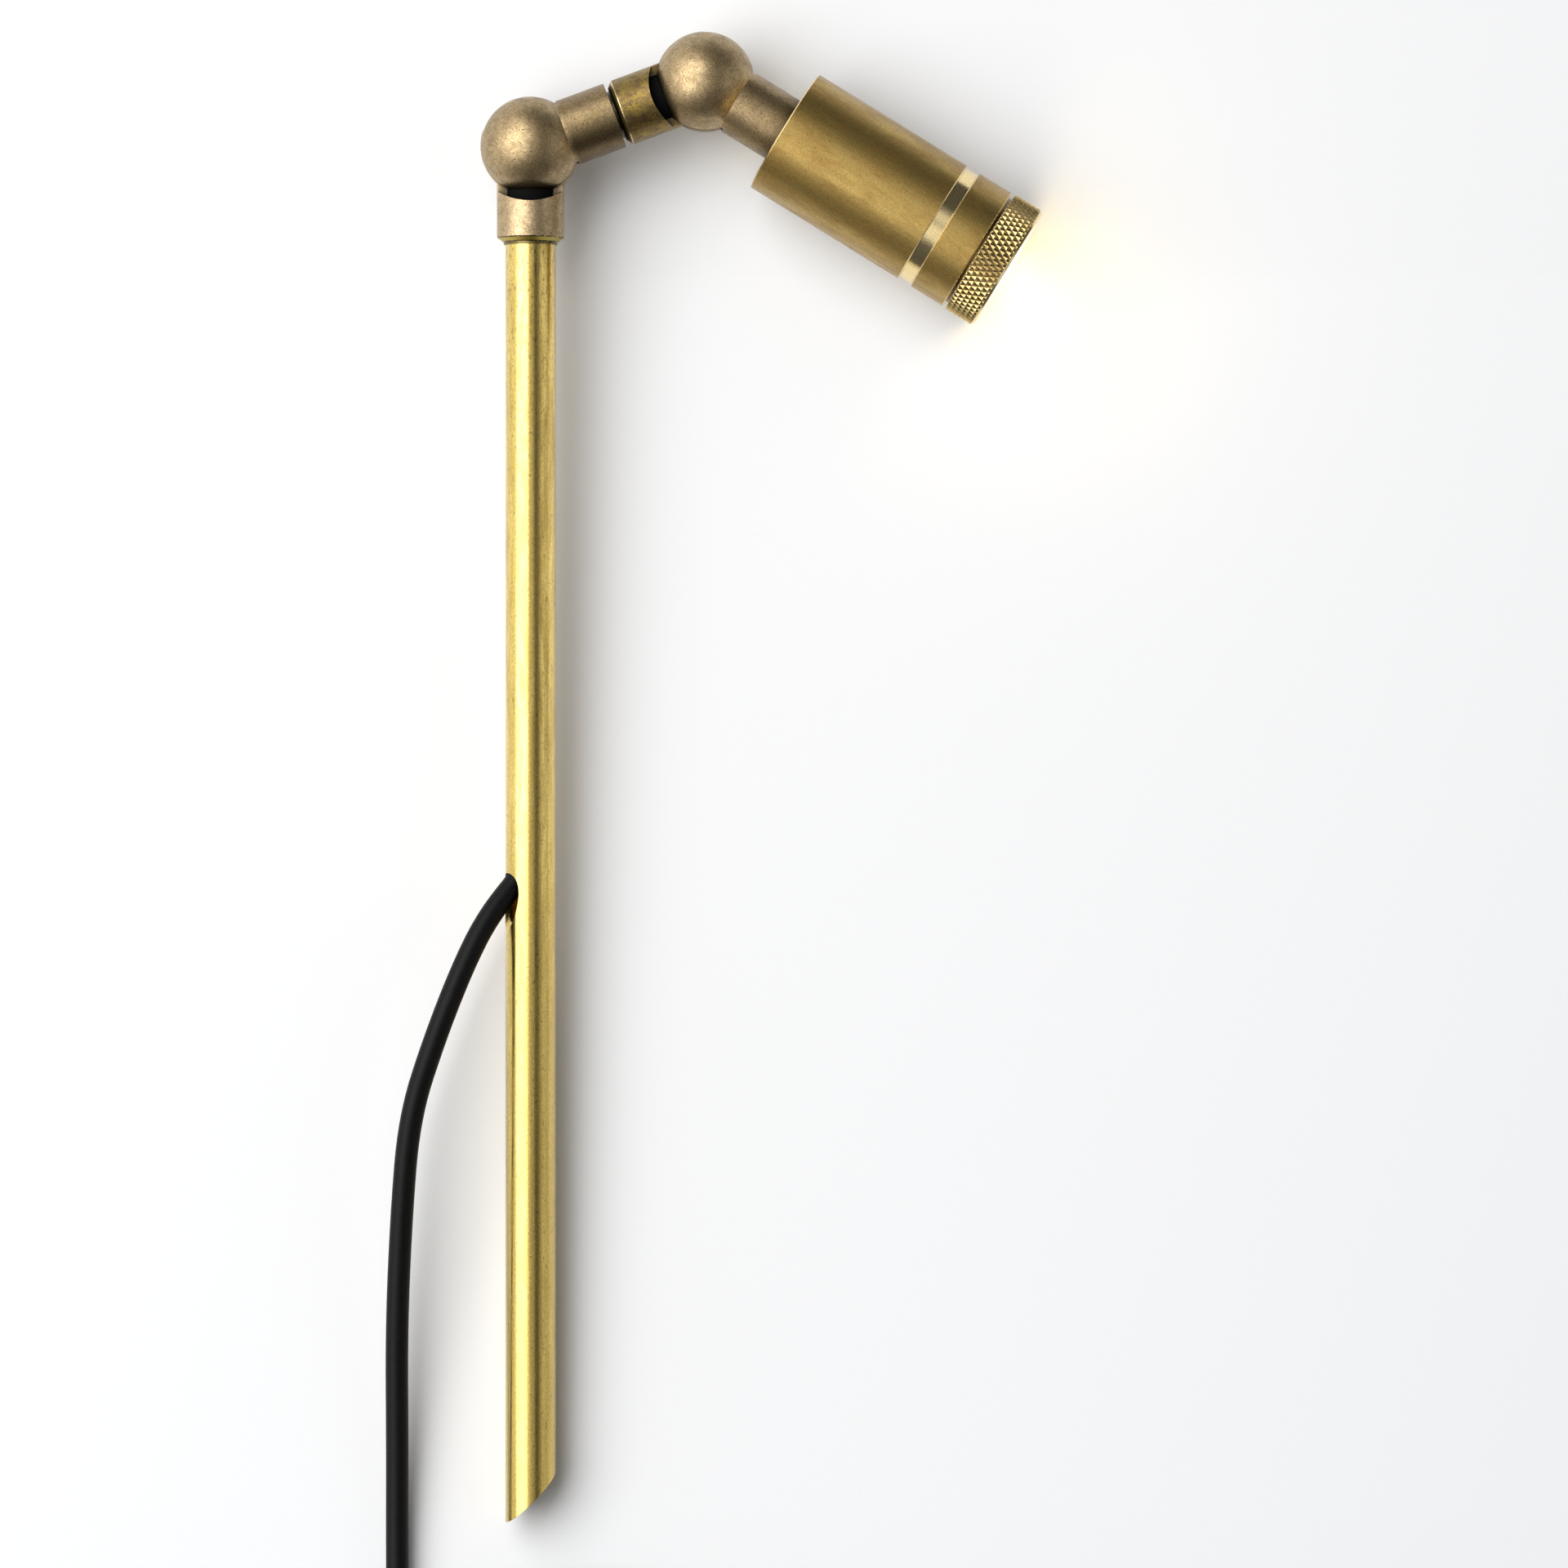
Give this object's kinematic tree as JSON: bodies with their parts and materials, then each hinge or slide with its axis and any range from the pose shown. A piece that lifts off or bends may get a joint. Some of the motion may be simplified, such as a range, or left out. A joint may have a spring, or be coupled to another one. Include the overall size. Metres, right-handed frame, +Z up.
{
  "type": "garden spike spotlight",
  "caption": "Brass garden spotlight on a tube spike, with ball knuckles that bend and turn, a cylindrical lamp head with a knurled front ring, and a black cable.",
  "frame": {"origin": "on the stem's axis at ground level, just below where the cable leaves the stem", "axes": "+Z up along the stem; both knuckles' hinges run along Y, so the arm and head swing in the XZ plane; the head points towards +X"},
  "size_m": [0.2129, 0.0422, 0.6288],
  "materials": {
    "stem_brass": "bright drawn tube with a thin varnish",
    "bright_brass": "freshly turned, bright",
    "aged_brass": "bead-blasted and aged to a brown grey",
    "head_brass": "satin, aged to olive brown",
    "steel": "plain stainless steel",
    "aluminium": "plain",
    "fibre": "red-brown vulcanised fibre",
    "ceramic": "unglazed off-white ceramic",
    "core_insulation": "brown and blue core insulation",
    "reflector": "aluminised glass",
    "clear_glass": "clear",
    "lens_glass": "clear, slightly crowned",
    "cable_rubber": "matt black",
    "seal_rubber": "black, soft",
    "tie_plastic": "black band",
    "plug_plastic": "matt black moulding",
    "contact_brass": "bright pins"
  },
  "bodies": {
    "stem": {"stem_tube": "stem_brass", "stem_ferrule": "bright_brass", "lower_socket": "aged_brass", "lower_wire_seal": "seal_rubber", "stem_cable": "cable_rubber", "stem_wires": "core_insulation", "cord_lead": "cable_rubber", "cord_coil": "cable_rubber", "cord_tail": "cable_rubber", "coil_tie": "tie_plastic", "plug_gland_nut": "plug_plastic", "plug_gland_seal": "seal_rubber", "plug_body": "plug_plastic", "plug_contacts": "contact_brass"},
    "arm": {"lower_ball_arm": "aged_brass", "lower_pivot_screw": "steel", "lower_spring_washer": "steel", "lower_friction_washers": "fibre", "arm_nipple": "bright_brass", "arm_wires": "core_insulation"},
    "elbow": {"upper_socket": "aged_brass", "upper_wire_seal": "seal_rubber", "twist_lock_screw": "steel"},
    "head": {"upper_ball_arm": "aged_brass", "upper_pivot_screw": "steel", "upper_spring_washer": "steel", "upper_friction_washers": "fibre", "head_body": "head_brass", "neck_lock_nut": "bright_brass", "head_wires": "core_insulation", "holder_plate": "steel", "lamp_holder": "ceramic", "holder_screws": "steel", "lamp_base": "ceramic", "lamp_pins": "steel", "lamp_reflector": "reflector", "lamp_capsule": "clear_glass", "lamp_front_glass": "clear_glass", "lamp_seat_ring": "aluminium"},
    "lens": {"lens_glass": "lens_glass", "lens_gasket": "seal_rubber"},
    "ring": {"knurled_ring": "head_brass"}
  },
  "joints": [
    {"name": "lower_knuckle", "type": "hinge", "parent": "stem", "child": "arm", "pos_m": [0, 0, 0.2505], "axis": [0, 1, 0], "range_deg": [-159.7, 20.3]},
    {"name": "arm_twist", "type": "hinge", "parent": "arm", "child": "elbow", "pos_m": [0, 0, 0.2505], "axis": [-0.9379, 0, -0.3469], "range_deg": [0, 180]},
    {"name": "upper_knuckle", "type": "hinge", "parent": "elbow", "child": "head", "pos_m": [0.05524, 0, 0.27093], "axis": [0, 1, 0], "range_deg": [-142, 38]},
    {"name": "lens_slide", "type": "slide", "parent": "head", "child": "lens", "axis": [0.8508, 0, -0.5255], "range_m": [0, 0.0053]},
    {"name": "ring_turn", "type": "hinge", "parent": "lens", "child": "ring", "pos_m": [0.08034, 0, 0.25543], "axis": [0.8508, 0, -0.5255], "range_deg": [0, 1260]}
  ],
  "couplings": [
    {"joint": "lens_slide", "follows": "ring_turn", "m_per_rad": 0.00023873}
  ]
}
